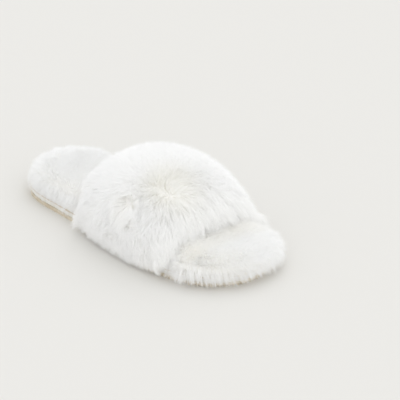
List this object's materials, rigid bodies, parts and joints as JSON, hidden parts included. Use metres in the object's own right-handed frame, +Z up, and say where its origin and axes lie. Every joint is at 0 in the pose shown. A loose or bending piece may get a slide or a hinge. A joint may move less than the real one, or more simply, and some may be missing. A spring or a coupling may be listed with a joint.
{
  "type": "fluffy house slipper",
  "caption": "Open-toe slip-on house slipper: long-pile fur band over a plush-covered foam footbed, with a fabric-wrapped platform and a flat rubber outsole notched round the forefoot.",
  "frame": {"origin": "centre of the slipper's bounding box, on the floor plane under the outsole", "axes": "+Z up; toe towards -Y, heel towards +Y; +X is the inner (big-toe) side of this right-foot slipper"},
  "size_m": [0.1132, 0.261, 0.0751],
  "materials": {
    "sole_rubber": "matte",
    "wrap_fabric": "matte",
    "filler_felt": "matte",
    "midsole_foam": "matte",
    "fibre_board": "matte",
    "cushion_foam": "matte",
    "footbed_plush": "matte",
    "band_fur": "matte",
    "band_lining_fabric": "matte",
    "sewing_thread": "matte"
  },
  "bodies": {
    "root": {"outsole": "sole_rubber", "platform_wrap": "wrap_fabric", "bottom_filler": "filler_felt", "midsole": "midsole_foam", "insole_board": "fibre_board", "footbed_foam": "cushion_foam", "footbed_cover": "footbed_plush", "perimeter_seam": "sewing_thread", "band_lining": "band_lining_fabric", "band_foam": "cushion_foam", "band_shell": "band_fur", "band_front_seam": "sewing_thread", "band_rear_seam": "sewing_thread"}
  },
  "joints": []
}
